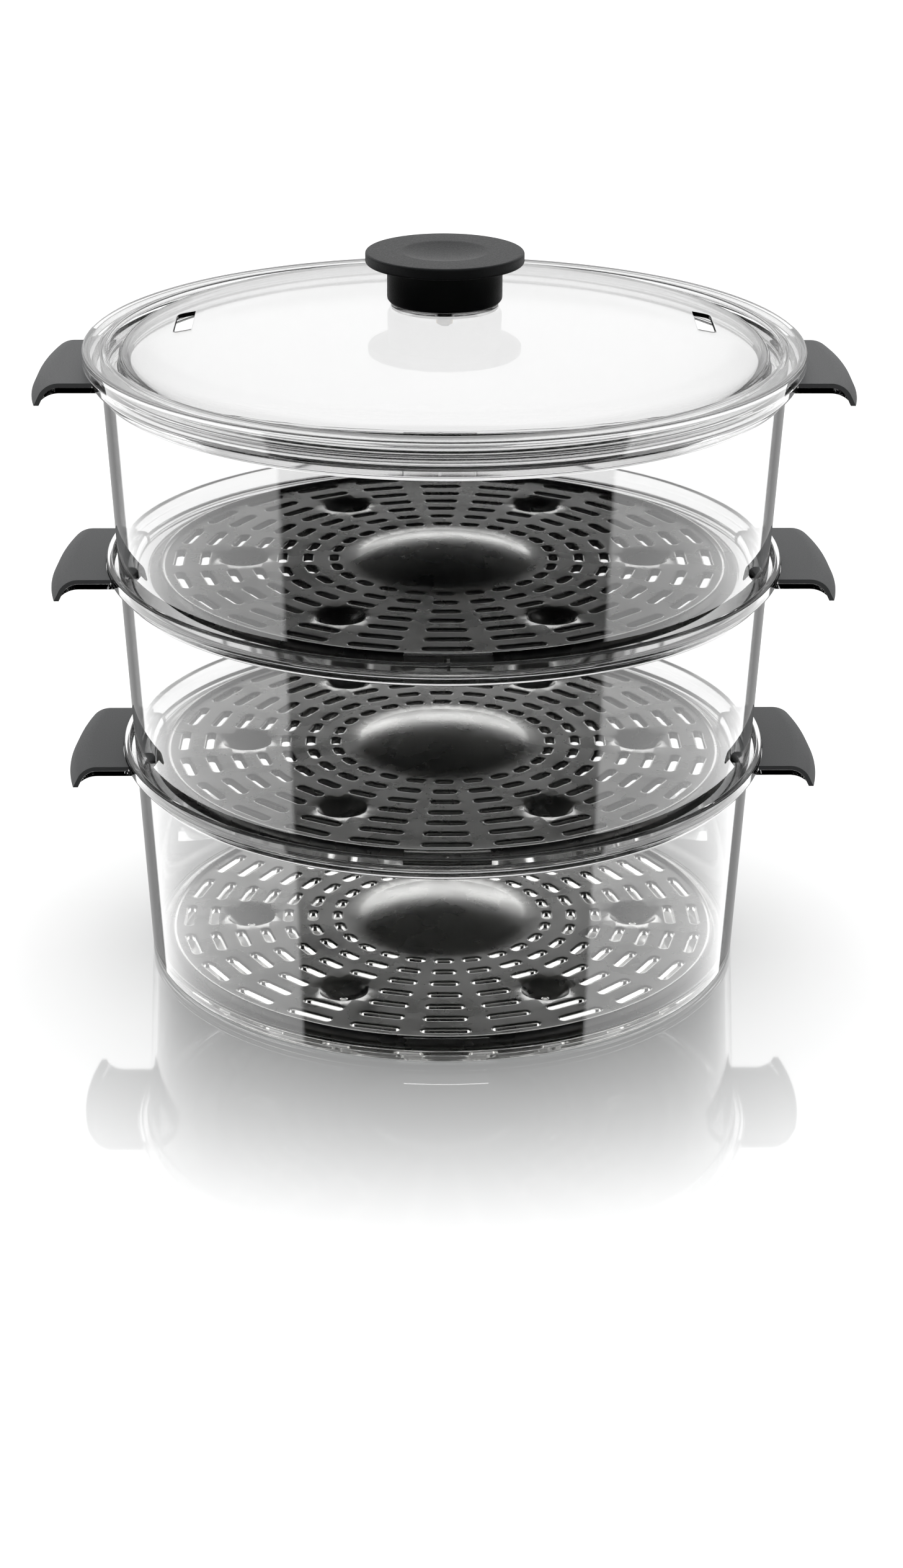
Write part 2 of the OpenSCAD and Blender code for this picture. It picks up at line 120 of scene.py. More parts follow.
# %% Clear plastic material
def clear_plastic():
    material, tree, output = new_material("moulded_clear_styrene_acrylonitrile")
    bulk = add_node(tree, "ShaderNodeBsdfPrincipled", {
        "Base Color": linear("ffffff"), "Roughness": 0.02, "IOR": 1.57, "Transmission Weight": 1,
    })
    film = add_node(tree, "ShaderNodeBsdfTransparent", {"Color": linear("f7f8f8")})
    path = add_node(tree, "ShaderNodeLightPath")
    mix = add_node(tree, "ShaderNodeMixShader", {
        0: path.outputs["Is Shadow Ray"], 1: bulk.outputs[0], 2: film.outputs[0],
    })
    tree.links.new(mix.outputs[0], output.inputs["Surface"])
    return material


CLEAR = clear_plastic()

# %% [markdown]
# ## Pressed stainless steel
# The trays are stamped from 18/10 stainless sheet and brushed very finely. The brushing is too fine to
# resolve, so it shows as a soft, cloudy reflection: a medium roughness that varies over about two
# centimetres, a slight waviness that the press leaves in the sheet, and a faint grain that is drawn
# coarser than the real one so that it shows at all.

# %% Steel materials
CLOUD_PER_M = 60  # clouds 17 mm across
WAVE_PER_M = 45  # waves 22 mm across
GRAIN_PER_M = 2500  # grain of 0.4 mm


def brushed_steel():
    material, tree, output = new_material("brushed_stainless_steel")
    place = add_node(tree, "ShaderNodeTexCoord").outputs["Object"]
    cloud = add_node(tree, "ShaderNodeTexNoise", {"Vector": place, "Scale": CLOUD_PER_M, "Detail": 4})
    rough = add_node(tree, "ShaderNodeMapRange", {
        "Value": cloud.outputs["Fac"], "From Min": 0.3, "From Max": 0.7, "To Min": 0.22, "To Max": 0.34,
    })
    wave = add_node(tree, "ShaderNodeTexNoise", {"Vector": place, "Scale": WAVE_PER_M, "Detail": 1})
    grain = add_node(tree, "ShaderNodeTexNoise", {"Vector": place, "Scale": GRAIN_PER_M, "Detail": 2})
    wavy = add_node(tree, "ShaderNodeBump", {
        "Height": wave.outputs["Fac"], "Strength": 0.5, "Distance": 0.0002,
    })
    grained = add_node(tree, "ShaderNodeBump", {
        "Height": grain.outputs["Fac"], "Normal": wavy.outputs[0], "Strength": 0.1, "Distance": 0.0001,
    })
    metal = add_node(tree, "ShaderNodeBsdfPrincipled", {
        "Base Color": linear("cfcfcd"), "Metallic": 1,
        "Roughness": rough.outputs[0], "Normal": grained.outputs[0],
    })
    tree.links.new(metal.outputs[0], output.inputs["Surface"])
    return material


STEEL = brushed_steel()

# %% [markdown]
# ## Grained plastics
# The handle covers are mid-grey polypropylene and the knob is black phenolic. Both come out of a mould
# with a fine spark-eroded grain of about half a millimetre, which breaks up highlights and makes
# their edges look soft. One function makes both, because only its numbers differ. The knob's phenolic
# gets a lower specular level, because its disc looks darker than a plain gloss would leave it.

# %% Grained plastic materials
def grained_plastic(name, colour, roughness, specular, grain_mm, depth_mm):
    material, tree, output = new_material(name)
    place = add_node(tree, "ShaderNodeTexCoord").outputs["Object"]
    grain = add_node(tree, "ShaderNodeTexNoise", {
        "Vector": place, "Scale": 1 / (grain_mm * TO_METRES), "Detail": 2, "Roughness": 0.6,
    })
    bump = add_node(tree, "ShaderNodeBump", {
        "Height": grain.outputs["Fac"], "Strength": 1, "Distance": depth_mm * TO_METRES,
    })
    tone = add_node(tree, "ShaderNodeMapRange", {
        "Value": grain.outputs["Fac"], "From Min": 0.3, "From Max": 0.7,
        "To Min": roughness - 0.06, "To Max": roughness + 0.06,
    })
    skin = add_node(tree, "ShaderNodeBsdfPrincipled", {
        "Base Color": linear(colour), "Specular IOR Level": specular,
        "Roughness": tone.outputs[0], "Normal": bump.outputs[0],
    })
    tree.links.new(skin.outputs[0], output.inputs["Surface"])
    return material


GREY = grained_plastic("grained_grey_polypropylene", "3c3d3e", 0.5, 0.5, 0.5, 0.05)
BLACK = grained_plastic("grained_black_phenolic", "1c1d1e", 0.45, 0.25, 0.6, 0.09)


# %% [markdown]
# ## Helpers for shapes
# Almost every piece is round, so it is turned on a lathe: a closed outline of corners, each with its
# own rounding, spun once about the upright axis. Corners are rounded in the flat outline, which is
# cheaper and cleaner than bevelling rings afterwards. Shapes are drawn in millimetres and turned to
# metres once, when a piece is finished. Large faces keep their true normals through a Weighted Normal
# modifier, or the rounded edges would make flat walls look like lenses.

# %% Lathe, boolean and finish
LATHE_STEPS = 192
ROUND_SEGMENTS = 4
WELD = 0.0005
SHARP = math.radians(38)
CREASE = math.radians(50)


def lathe(corners, steps=LATHE_STEPS, start=0, sweep=2 * math.pi, close=True):
    """Spins a closed outline of (radius, height, rounding) corners about Z."""
    bm = bmesh.new()
    verts = [bm.verts.new((r, 0, z)) for r, z, _ in corners]
    bm.faces.new(verts)
    for vert, (_, _, rounding) in zip(verts, corners):
        if rounding:
            bmesh.ops.bevel(bm, geom=[vert], offset=rounding, offset_type="OFFSET", affect="VERTICES",
                            segments=ROUND_SEGMENTS, profile=0.5, material=-1)
    bmesh.ops.rotate(bm, verts=bm.verts, cent=(0, 0, 0), matrix=Matrix.Rotation(start, 3, "Z"))
    if close:
        bmesh.ops.delete(bm, geom=bm.faces[:], context="FACES_ONLY")
        bmesh.ops.spin(bm, geom=bm.verts[:] + bm.edges[:], cent=(0, 0, 0), axis=(0, 0, 1),
                       angle=sweep, steps=steps, use_merge=True)
    else:
        bmesh.ops.spin(bm, geom=bm.faces[:], cent=(0, 0, 0), axis=(0, 0, 1), angle=sweep, steps=steps)
    return bm


def tidy(bm):
    """Closes poles and points every face outwards."""
    bmesh.ops.remove_doubles(bm, verts=bm.verts, dist=WELD)
    bmesh.ops.dissolve_degenerate(bm, edges=bm.edges, dist=WELD)
    bmesh.ops.recalc_face_normals(bm, faces=bm.faces)


def temporary(bm, name="temporary"):
    """A scene object that holds a bmesh while a modifier works on it."""
    tidy(bm)
    mesh = bpy.data.meshes.new(name)
    bm.to_mesh(mesh)
    bm.free()
    made = bpy.data.objects.new(name, mesh)
    bpy.context.scene.collection.objects.link(made)
    return made


def combine(bm, other, operation):
    """The exact boolean of two bmeshes, as a new bmesh."""
    target, tool = temporary(bm), temporary(other)
    modifier = target.modifiers.new("combine", "BOOLEAN")
    modifier.operation = operation
    modifier.solver = "EXACT"
    modifier.object = tool
    result = bmesh.new()
    result.from_object(target, bpy.context.evaluated_depsgraph_get())
    for used in (target, tool):
        mesh = used.data
        bpy.data.objects.remove(used)
        bpy.data.meshes.remove(mesh)
    return result


def round_edges(bm, edges, width, segments=3):
    bmesh.ops.bevel(bm, geom=edges, offset=width, offset_type="OFFSET", affect="EDGES",
                    segments=segments, profile=0.5, material=-1, clamp_overlap=True)


def finish_piece(name, bm, body, material, replaced=None):
    """Turns a bmesh in millimetres into a named piece that rides on a body."""
    tidy(bm)
    bmesh.ops.scale(bm, verts=bm.verts, vec=(TO_METRES,) * 3)
    for face in bm.faces:
        face.smooth = True
    for edge in bm.edges:
        edge.smooth = len(edge.link_faces) != 2 or edge.calc_face_angle() < SHARP
    mesh = bpy.data.meshes.new(name)
    bm.to_mesh(mesh)
    bm.free()
    mesh.materials.append(material)
    piece = bpy.data.objects.new(name, mesh)
    bpy.context.scene.collection.objects.link(piece)
    normals = piece.modifiers.new("even_normals", "WEIGHTED_NORMAL")
    normals.keep_sharp = True
    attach(piece, body)
    if replaced:
        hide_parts(replaced)
    print(name, len(mesh.polygons), "faces")
    return piece


# %% [markdown]
# ## Sizes that the baskets share
# The three baskets are one design that grows by 4 mm in radius from tier to tier, so that each nests
# in the rim below it. The sizes here are those of the imported model, apart from the flare and the lip,
# which are shorter here, as the picture shows them.

# %% Basket sizes in millimetres
TIERS = (1, 2, 3)
TIER_PITCH = 77
DRAFT = math.tan(math.radians(3))
FOOT_R = 118
TIER_STEP = 4
WALL = 2.2
RIM_LAP = 10.6
RIM_TOP = TIER_PITCH + RIM_LAP
NEST_GAP = 1.85
LIP_T = 2.6
LIP_H = 4.6
FLARE_H = 4.6
FLARE_TOP = RIM_TOP - LIP_H
FLARE_Z = FLARE_TOP - FLARE_H
SHELF_Z = 4.1
SHELF_T = 2.2
SHELF_STEP = 1.2
SHELF_IN_R = 108.5
STEP_R = 115
FOOT_RING = 2.4
SPIGOT_GAP = 0.3
SEAT_GAP = 0.15
LID_OVERHANG = 2.2
TIER_BODY = {1: "bottom_basket", 2: "middle_basket", 3: "top_basket"}
TRAY_BODY = {1: "bottom_tray", 2: "middle_tray", 3: "top_tray"}


def wall_r(tier, z):
    return FOOT_R + TIER_STEP * (tier - 1) + z * DRAFT


def lip_in(tier):
    return wall_r(tier + 1, RIM_LAP) + NEST_GAP


def lip_out(tier):
    return lip_in(tier) + LIP_T


def tier_z(tier):
    return TIER_PITCH * (tier - 1)


# %% [markdown]
# ## Handle plates
# Each handle is two bent plates: a clear lug moulded on the basket, and a grey cover that slips over
# it. In section the cover is a flat, one bend of 64 degrees and a short straight down to its edge. The
# lug follows it beneath and thins out to nothing under the bend. Both belong to the round rim, so the
# section is turned about the basket's own axis over a short angle. Bisect Plane then cuts the two ends
# square, and an edge loop fill closes each cut.

# %% Handle sections
HANDLE_HALF_W = 31.8
HANDLE_FLAT = 12.1
HANDLE_TOP = RIM_TOP - 2.6
HANDLE_H = 8.6
BEND_R = 8.5
BEND_A = 64
LUG_BEND_R = 9.4
LUG_TIP_A = 44.2
COVER_T = 1.7
LUG_T = 2.1
COVER_GAP = 0.2
HANDLE_SWEEP = math.radians(32)
HANDLE_STEPS = 40
HANDLE_BEND_STEPS = 12


def arc_points(x, z, radius, start, end, count):
    angles = [math.radians(start + (end - start) * i / count) for i in range(count + 1)]
    return [(x + radius * math.cos(a), z + radius * math.sin(a)) for a in angles]


def bend_line(tier, depth, radius, start_r):
    """A cover's line at a depth below its top, as (radius, height) points down to its edge."""
    x, z = lip_out(tier) + HANDLE_FLAT, HANDLE_TOP - depth - radius
    low = HANDLE_TOP - HANDLE_H
    line = [(start_r, z + radius)] + arc_points(x, z, radius, 90, 90 - BEND_A, HANDLE_BEND_STEPS)
    run = (line[-1][1] - low) / math.tan(math.radians(BEND_A))
    return line + [(line[-1][0] + run, low)]


def cover_outline(tier):
    inner = lip_out(tier) + COVER_GAP
    return bend_line(tier, 0, BEND_R, inner) + bend_line(tier, COVER_T, BEND_R - COVER_T, inner)[::-1]


def lug_outline(tier):
    root = lip_out(tier) - LIP_T / 2
    under = HANDLE_TOP - COVER_T - LUG_T
    upper = bend_line(tier, COVER_T, BEND_R - COVER_T, root)[:-1]
    lower = arc_points(lip_out(tier) + HANDLE_FLAT, under - LUG_BEND_R, LUG_BEND_R, 90 - LUG_TIP_A, 90,
                       HANDLE_BEND_STEPS)
    return upper + lower + [(root, under)]


def handle_solid(outline):
    """Turns a section about the basket's axis and cuts both ends square."""
    corners = [(r, z, 0) for r, z in outline]
    bm = lathe(corners, steps=HANDLE_STEPS, start=-HANDLE_SWEEP / 2, sweep=HANDLE_SWEEP, close=False)
    for way in (-1, 1):
        cut = bmesh.ops.bisect_plane(bm, geom=bm.verts[:] + bm.edges[:] + bm.faces[:], clear_outer=True,
                                     plane_co=(0, way * HANDLE_HALF_W, 0), plane_no=(0, way, 0))
        bmesh.ops.edgeloop_fill(bm, edges=[e for e in cut["geom_cut"] if isinstance(e, bmesh.types.BMEdge)])
    return bm


# %% [markdown]
# ## The clear baskets
# A basket is one moulding: foot, shelf for the tray, drafted wall, flared rim and upright lip. The
# picture shows the tray unbent through the wall right up to the lip. So the flare is short and of even
# thickness, and its inner cone is the seat that carries the foot of the basket above, which steps in to
# match it. Each corner is rounded a little, because a mould has no truly sharp corner and every round
# edge draws a light or dark line. The lugs, the thick corners beside them and the two catch tabs are
# joined by exact booleans, so that no inner wall is left where two clear pieces meet.

# %% Basket outline and details
PAD_HALF_A = math.radians(10.5)
PAD_H = 6
PAD_W = 5
PAD_SINK = 0.5
PAD_ROUND = 2.4
PAD_STEPS = 16
TAB_W = 32
TAB_H = 5.6
TAB_T = 3.4
TAB_BACK = 0.4
RIB_W = 1.2
RIB_DROP = 1
TAB_ROUND = 0.5
TAB_STEPS = 12
FOOT_ROUND = 0.4
HEEL_ROUND = 1.5
SHOULDER_ROUND = 0.6
FLARE_ROUND = 0.8
RIM_ROUND = 0.7
SEAT_ROUND = 1
INNER_ROUND = 0.4
STEP_ROUND = 0.3
SHELF_ROUND = 0.5


def seat_z(tier, r):
    """Height of the flare's inner cone, the seat in a rim, at a radius."""
    run = lip_out(tier) - wall_r(tier, FLARE_Z)
    rise = WALL * math.hypot(run, FLARE_H) / run
    return FLARE_Z + (r - wall_r(tier, FLARE_Z)) * FLARE_H / run + rise


def foot_corners(tier, foot_in):
    """The foot's lower edge. Above the lowest basket it steps in to fit the seat beneath."""
    if tier == 1:
        return [(foot_in, 0, FOOT_ROUND), (wall_r(tier, 0), 0, HEEL_ROUND)]
    spigot_r = wall_r(tier - 1, FLARE_Z) - WALL - SPIGOT_GAP
    shoulder_r = wall_r(tier, SHELF_Z)
    lift = SEAT_GAP - TIER_PITCH
    return [
        (foot_in, 0, FOOT_ROUND), (spigot_r, 0, FOOT_ROUND),
        (spigot_r, seat_z(tier - 1, spigot_r) + lift, STEP_ROUND),
        (shoulder_r, seat_z(tier - 1, shoulder_r) + lift, SHOULDER_ROUND),
    ]


def basket_outline(tier):
    foot_in = wall_r(tier, 0) - WALL - FOOT_RING
    seat_in = wall_r(tier, FLARE_Z) - WALL
    step_top = SHELF_Z + SHELF_STEP
    return foot_corners(tier, foot_in) + [
        (wall_r(tier, FLARE_Z), FLARE_Z, FLARE_ROUND), (lip_out(tier), FLARE_TOP, FLARE_ROUND),
        (lip_out(tier), RIM_TOP, RIM_ROUND), (lip_in(tier), RIM_TOP, RIM_ROUND),
        (lip_in(tier), seat_z(tier, lip_in(tier)), FLARE_ROUND), (seat_in, seat_z(tier, seat_in), SEAT_ROUND),
        (wall_r(tier, step_top) - WALL, step_top, INNER_ROUND), (STEP_R, step_top, STEP_ROUND),
        (STEP_R, SHELF_Z, STEP_ROUND), (SHELF_IN_R, SHELF_Z, SHELF_ROUND),
        (SHELF_IN_R, SHELF_Z - SHELF_T, SHELF_ROUND), (foot_in, SHELF_Z - SHELF_T, SHELF_ROUND),
    ]


def corner_pad(tier):
    outer = wall_r(tier, SHELF_Z) - WALL
    top = SHELF_Z + PAD_H
    low = SHELF_Z - PAD_SINK
    corners = [(outer - PAD_W, low, 0), (outer + WALL / 2, low, 0),
               (outer + WALL / 2, top, 0), (outer, top, 0), (outer - PAD_W, top, PAD_ROUND)]
    return lathe(corners, steps=PAD_STEPS, start=-PAD_HALF_A, sweep=2 * PAD_HALF_A, close=False)


def catch_tab(tier):
    inner = STEP_R + TAB_BACK
    wall_mid = wall_r(tier, SHELF_Z) - WALL / 2
    outer = min(inner + TAB_T, wall_mid)
    half_a = math.asin(TAB_W / 2 / outer)
    corners = [(inner, SHELF_Z, 0), (outer, SHELF_Z, 0),
               (outer, SHELF_Z + TAB_H, TAB_ROUND), (inner, SHELF_Z + TAB_H, TAB_ROUND)]
    bm = lathe(corners, steps=TAB_STEPS, start=-half_a, sweep=2 * half_a, close=False)
    if wall_mid <= outer:
        return bm
    middle = (inner + outer) / 2
    size = Vector((wall_mid - middle, RIB_W, TAB_H - RIB_DROP))
    rib = bmesh.new()
    bmesh.ops.create_cube(rib, size=1)
    bmesh.ops.scale(rib, verts=rib.verts, vec=size)
    bmesh.ops.translate(rib, verts=rib.verts, vec=(middle + size.x / 2, 0, SHELF_Z + size.z / 2))
    return combine(bm, rib, "UNION")


def turned(bm, angle):
    bmesh.ops.rotate(bm, verts=bm.verts, cent=(0, 0, 0), matrix=Matrix.Rotation(angle, 3, "Z"))
    return bm


def make_basket(tier):
    bm = lathe(basket_outline(tier))
    for side in (0, math.pi):
        bm = combine(bm, turned(handle_solid(lug_outline(tier)), side), "UNION")
        if wall_r(tier, SHELF_Z) - WALL - PAD_W > STEP_R:
            bm = combine(bm, turned(corner_pad(tier), side), "UNION")
        bm = combine(bm, turned(catch_tab(tier), side + math.pi / 2), "UNION")
    bmesh.ops.translate(bm, verts=bm.verts, vec=(0, 0, tier_z(tier)))
    return finish_piece(f"clear_basket_{tier}", bm, TIER_BODY[tier], CLEAR,
                        f"basket_{tier}")


for tier in TIERS:
    make_basket(tier)

# %% [markdown]
# ## Handle covers
# The covers are the same bent plate one step further out. Their edges are rounded by half a
# millimetre: in the picture a thin light line runs where the grey top turns into the dark front edge.

# %% Make the six covers
COVER_ROUND = 0.45


def make_cover(tier, side, name):
    bm = handle_solid(cover_outline(tier))
    tidy(bm)
    edges = [e for e in bm.edges if len(e.link_faces) == 2 and e.calc_face_angle() > CREASE]
    round_edges(bm, edges, COVER_ROUND)
    turned(bm, side)
    bmesh.ops.translate(bm, verts=bm.verts, vec=(0, 0, tier_z(tier)))
    return finish_piece(f"grey_{name}", bm, TIER_BODY[tier], GREY, name)


for tier in TIERS:
    make_cover(tier, 0, f"handle_cover_right_{tier}")
    make_cover(tier, math.pi, f"handle_cover_left_{tier}")

# %% [markdown]
# ## The trays
# A tray is pressed from one sheet: a dome in the middle, six egg wells, seven rings of slots and a
# raised bead that steps down to the rim. Its punched slots have drawn edges that roll down into the
# hole, and these catch a bright line. So each slot is a small lip turned out of a rounded section, each
# well a bowl, and the flat sheet between them is filled in one go by Triangle Fill, which leaves
# every ring of edges inside another one open. First come the sizes, and a test that leaves a slot out
# where it would run into an egg well.

# %% Tray sizes in millimetres
SHEET_T = 0.6
TRAY_PLANE = SHELF_Z + 2.5
TRAY_R = 114.5
RIM_W = 3.2
BEAD_IN_R = 108.4
BEAD_H = 0.9
DOME_R = 35.1
DOME_H = 6.3
SLOT_RINGS = 7
SLOT_FIRST_R = 42.8
SLOT_RING_STEP = 10.05
SLOTS_ROUND = 24
SLOT_A = math.radians(10.7)
SLOT_W = 4.2
WELL_RING_R = 78.2
WELL_R = 10.1
WELL_DEPTH = 4.3
WELL_HOLE_R = 1.5
WELL_LAND = 1
WELL_COUNT = 6


def slot_length(ring_r):
    return 2 * ring_r * math.sin(SLOT_A / 2)


def is_clear(ring_r, angle):
    """Whether a slot leaves a land of metal round every egg well."""
    half = (slot_length(ring_r) - SLOT_W) / 2
    nearest = math.inf
    for well in range(WELL_COUNT):
        turn = angle - well * 2 * math.pi / WELL_COUNT
        beyond = max(0, abs(WELL_RING_R * math.sin(turn)) - half)
        nearest = min(nearest, math.hypot(ring_r - WELL_RING_R * math.cos(turn), beyond))
    return nearest > WELL_R + SLOT_W / 2 + WELL_LAND


# %% [markdown]
# ## Parts of the sheet
# A slot's lip is spun half round one end, run along and spun round the other. Wells, dome and rim bead
# are open sections spun about their own middle. Each is made once as a small mesh and then copied to
# its places, which is quicker than running the operators again for every slot.

# %% Lips, bowls and rings of the sheet
LIP_ROUND = 0.7
LIP_FLAT = 0.35
LIP_DEPTH = 2.6
LIP_OPEN = 0.35  # share of the lip's rounding by which the hole widens
END_STEPS = 8
BEND_STEPS = 3
SHEET_WELD = 0.001


def lip_section():
    """A slot lip as (distance outside the opening, depth) points, from the flat sheet down."""
    points = [(LIP_ROUND + LIP_FLAT, 0)]
    points += arc_points(LIP_ROUND, -LIP_ROUND, LIP_ROUND, 90, 180, BEND_STEPS)
    return points + [(0, -LIP_DEPTH)]


def add_lip(bm, length, width):
    """Spins a lip half round one end of a slot, runs it along, and closes it round the other."""
    half = (length - width) / 2
    radius = (width - 2 * LIP_ROUND) / 2 + LIP_ROUND * LIP_OPEN
    verts = [bm.verts.new((radius + r, half, z)) for r, z in lip_section()]
    edges = [bm.edges.new(pair) for pair in zip(verts, verts[1:])]
    made = bmesh.ops.spin(bm, geom=verts + edges, cent=(0, half, 0), axis=(0, 0, 1),
                          angle=math.pi, steps=END_STEPS)
    last = [e for e in made["geom_last"] if isinstance(e, bmesh.types.BMEdge)]
    run = bmesh.ops.extrude_edge_only(bm, edges=last)
    run_verts = [v for v in run["geom"] if isinstance(v, bmesh.types.BMVert)]
    bmesh.ops.translate(bm, verts=run_verts, vec=(0, -2 * half, 0))
    run_edges = [e for e in run["geom"] if isinstance(e, bmesh.types.BMEdge)
                 and all(v in run_verts for v in e.verts)]
    made = bmesh.ops.spin(bm, geom=run_verts + run_edges, cent=(0, -half, 0), axis=(0, 0, 1),
                          angle=math.pi, steps=END_STEPS)
    last = [e for e in made["geom_last"] if isinstance(e, bmesh.types.BMEdge)]
    back = bmesh.ops.extrude_edge_only(bm, edges=last)
    back_verts = [v for v in back["geom"] if isinstance(v, bmesh.types.BMVert)]
    bmesh.ops.translate(bm, verts=back_verts, vec=(0, 2 * half, 0))
    return bm


def lip_mesh(length, width):
    bm = bmesh.new()
    add_lip(bm, length, width)
    bmesh.ops.remove_doubles(bm, verts=bm.verts, dist=SHEET_WELD)
    mesh = bpy.data.meshes.new("lip")
    bm.to_mesh(mesh)
    bm.free()
    return mesh


def place_copy(bm, mesh, matrix):
    """Adds a copy of a small mesh to a bmesh, moved by a matrix."""
    before = len(bm.verts)
    bm.from_mesh(mesh)
    bm.verts.ensure_lookup_table()
    bmesh.ops.transform(bm, matrix=matrix, verts=bm.verts[before:])


def spun_mesh(points, steps):
    """An open section of (radius, height) points spun into a surface."""
    bm = bmesh.new()
    verts = [bm.verts.new((r, 0, z)) for r, z in points]
    edges = [bm.edges.new(pair) for pair in zip(verts, verts[1:])]
    bmesh.ops.spin(bm, geom=verts + edges, cent=(0, 0, 0), axis=(0, 0, 1),
                   angle=2 * math.pi, steps=steps, use_merge=True)
    bmesh.ops.remove_doubles(bm, verts=bm.verts, dist=SHEET_WELD)
    mesh = bpy.data.meshes.new("spun")
    bm.to_mesh(mesh)
    bm.free()
    return mesh


def cap_points(radius, height, count, inner=0):
    """A spherical cap from its edge at the sheet to its middle, or to a hole."""
    ball = (radius**2 + height**2) / (2 * height)
    first, last = math.asin(radius / ball), math.asin(inner / ball)
    angles = [first + (last - first) * i / count for i in range(count + 1)]
    return [(ball * math.sin(a), height - ball + ball * math.cos(a)) for a in angles]


# %% [markdown]
# ## One pressing for three trays
# The trays are the same pressing, so the sheet is put together once: lips, bowls, dome and bead go to
# their places, and one fill joins them. Each tray takes a copy at its own height. Solidify gives it
# thickness, and Weighted Normal keeps the flat sheet flat to the eye between the rounded edges.

# %% Put one tray together
DOME_RINGS = 14
DOME_STEPS = 96
BOWL_RINGS = 8
BOWL_STEPS = 48
IN_PLANE = 0.001


def bead_points():
    """The rim bead as (radius, height) points, small steps away from the named radii."""
    bead_out = TRAY_R - RIM_W
    middle = (BEAD_IN_R + bead_out) / 2
    drop = SHELF_Z + SHEET_T - TRAY_PLANE
    return [(BEAD_IN_R, 0), (BEAD_IN_R + 0.35, 0.1), (middle - 0.7, BEAD_H - 0.1), (middle, BEAD_H),
            (middle + 0.6, BEAD_H - 0.1), (bead_out - 0.2, drop + 0.35), (bead_out + 0.1, drop + 0.08),
            (bead_out + 0.5, drop), (TRAY_R, drop)]


def tray_surface():
    bm = bmesh.new()
    upright = Matrix.Identity(4)
    place_copy(bm, spun_mesh(bead_points(), LATHE_STEPS), upright)
    place_copy(bm, spun_mesh(cap_points(DOME_R, DOME_H, DOME_RINGS), DOME_STEPS), upright)
    bowl_line = [(r, -z) for r, z in cap_points(WELL_R, WELL_DEPTH, BOWL_RINGS, WELL_HOLE_R)]
    bowl = spun_mesh(bowl_line, BOWL_STEPS)
    for well in range(WELL_COUNT):
        turn = Matrix.Rotation(well * 2 * math.pi / WELL_COUNT, 4, "Z")
        place_copy(bm, bowl, turn @ Matrix.Translation((WELL_RING_R, 0, 0)))
    for ring in range(SLOT_RINGS):
        ring_r = SLOT_FIRST_R + ring * SLOT_RING_STEP
        lip = lip_mesh(slot_length(ring_r), SLOT_W)
        for i in range(SLOTS_ROUND):
            angle = i * 2 * math.pi / SLOTS_ROUND
            if is_clear(ring_r, angle):
                place_copy(bm, lip, Matrix.Rotation(angle, 4, "Z") @ Matrix.Translation((ring_r, 0, 0)))
    return bm


def fill_sheet(bm):
    """Fills the flat sheet between all the open edges that lie in its plane."""
    flat = [e for e in bm.edges if e.is_boundary and all(abs(v.co.z) < IN_PLANE for v in e.verts)]
    flat = [e for e in flat if e.verts[0].co.xy.length < TRAY_R - 1]
    bmesh.ops.triangle_fill(bm, edges=flat, use_beauty=True, use_dissolve=False, normal=(0, 0, 1))


def make_tray(tier, bm):
    bmesh.ops.recalc_face_normals(bm, faces=bm.faces)
    if max(bm.faces, key=lambda f: f.calc_area()).normal.z < 0:
        bmesh.ops.reverse_faces(bm, faces=bm.faces)
    bmesh.ops.translate(bm, verts=bm.verts, vec=(0, 0, TRAY_PLANE + tier_z(tier)))
    bmesh.ops.scale(bm, verts=bm.verts, vec=(TO_METRES,) * 3)
    for face in bm.faces:
        face.smooth = True
    mesh = bpy.data.meshes.new(f"pressed_tray_{tier}")
    bm.to_mesh(mesh)
    bm.free()
    mesh.materials.append(STEEL)
    tray = bpy.data.objects.new(f"pressed_tray_{tier}", mesh)
    bpy.context.scene.collection.objects.link(tray)
    sheet = tray.modifiers.new("sheet", "SOLIDIFY")
    sheet.thickness = SHEET_T * TO_METRES
    sheet.offset = -1
    normals = tray.modifiers.new("even_normals", "WEIGHTED_NORMAL")
    normals.keep_sharp = True
    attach(tray, TRAY_BODY[tier])
    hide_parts(f"tray_{tier}")
    print(tray.name, len(mesh.polygons), "faces")
    return tray


surface = tray_surface()
fill_sheet(surface)
for tier in TIERS:
    make_tray(tier, surface.copy())
surface.free()

# %% [markdown]
# ## The lid
# The lid's outline is one closed line: a plug that drops inside the top rim, a flat-topped ring whose
# skirt reaches out over that rim, a gutter that collects drops, and a low elliptic dome with a small
# boss for the knob. It is turned on the lathe in one go, so that its wall has an even thickness.

# %% Lid sizes and outline
LID_Z = TIER_PITCH * 3
LID_T = 2.2
PLUG_GAP = 2.1
PLUG_R = lip_in(3) - PLUG_GAP
PLUG_Z = 5.1
LID_R = lip_out(3) + LID_OVERHANG
EDGE_GAP = 0.3
EDGE_Z = RIM_LAP + EDGE_GAP
EDGE_ROUND = 0.3
RING_H = 5.8
RING_Z = RIM_LAP + RING_H
RING_ROUND = 0.9
DOME_RISE = 2.1
DOME_Z = RIM_LAP + DOME_RISE
GUTTER_DEPTH = 3.5
GUTTER_Z = DOME_Z - GUTTER_DEPTH
GUTTER_W = 4.6
GUTTER_ROUND = 0.8
GROOVE_ROUND = 0.6
PLUG_ROUND = 1
LID_DOME_R = PLUG_R - LID_T - GUTTER_W
LID_DOME_H = 18
LID_RINGS = 40
BOSS_R = 20.5
BOSS_H = 0.9
BOSS_Z = DOME_Z + LID_DOME_H + BOSS_H
